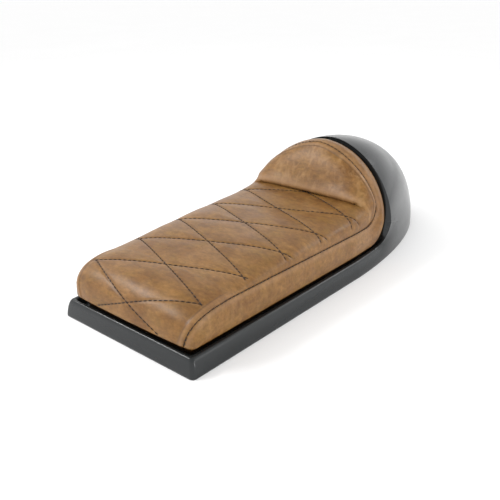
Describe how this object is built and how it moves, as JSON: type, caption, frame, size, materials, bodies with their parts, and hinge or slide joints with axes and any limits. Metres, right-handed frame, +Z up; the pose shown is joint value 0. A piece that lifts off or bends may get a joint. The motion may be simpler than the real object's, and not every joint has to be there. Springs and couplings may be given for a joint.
{
  "type": "motorcycle seat",
  "caption": "Cafe racer motorcycle seat: a moulded plastic tray with a rounded tail cowl, and a bolted-in quilted leather pad that turns up into a bum stop.",
  "frame": {"origin": "middle of the seat's footprint, at the level of the tray's bottom edge, which it stands on", "axes": "+Z is up, Y runs along the seat with the front at -Y and the tail at +Y, X runs across it"},
  "size_m": [0.25, 0.673, 0.1714],
  "materials": {
    "black_plastic": "satin black moulded ABS",
    "tan_leather": "soft mottled tan leather with a slight sheen",
    "grey_foam": "moulded flexible foam",
    "scrim_foam": "thin quilting foam",
    "pan_plastic": "matt black plastic",
    "zinc_steel": "bright zinc plated",
    "black_rubber": "matt black rubber"
  },
  "bodies": {
    "root": {"anchor_rod": "zinc_steel", "base_shell": "black_plastic", "bolt_1": "zinc_steel", "bolt_2": "zinc_steel", "bolt_3": "zinc_steel", "bolt_4": "zinc_steel", "bum_stop_foam": "grey_foam", "bum_stop_panel": "tan_leather", "bumper_1": "black_rubber", "bumper_2": "black_rubber", "bumper_3": "black_rubber", "bumper_4": "black_rubber", "hog_ring_1": "zinc_steel", "hog_ring_2": "zinc_steel", "hog_ring_3": "zinc_steel", "hog_ring_4": "zinc_steel", "hog_ring_5": "zinc_steel", "listing_rod": "zinc_steel", "pad_pan": "pan_plastic", "scrim_foam": "scrim_foam", "seat_foam": "grey_foam", "side_band": "tan_leather", "tee_nut_1": "zinc_steel", "tee_nut_2": "zinc_steel", "tee_nut_3": "zinc_steel", "tee_nut_4": "zinc_steel", "top_panel": "tan_leather", "washer_1": "zinc_steel", "washer_2": "zinc_steel", "washer_3": "zinc_steel", "washer_4": "zinc_steel"}
  },
  "joints": []
}
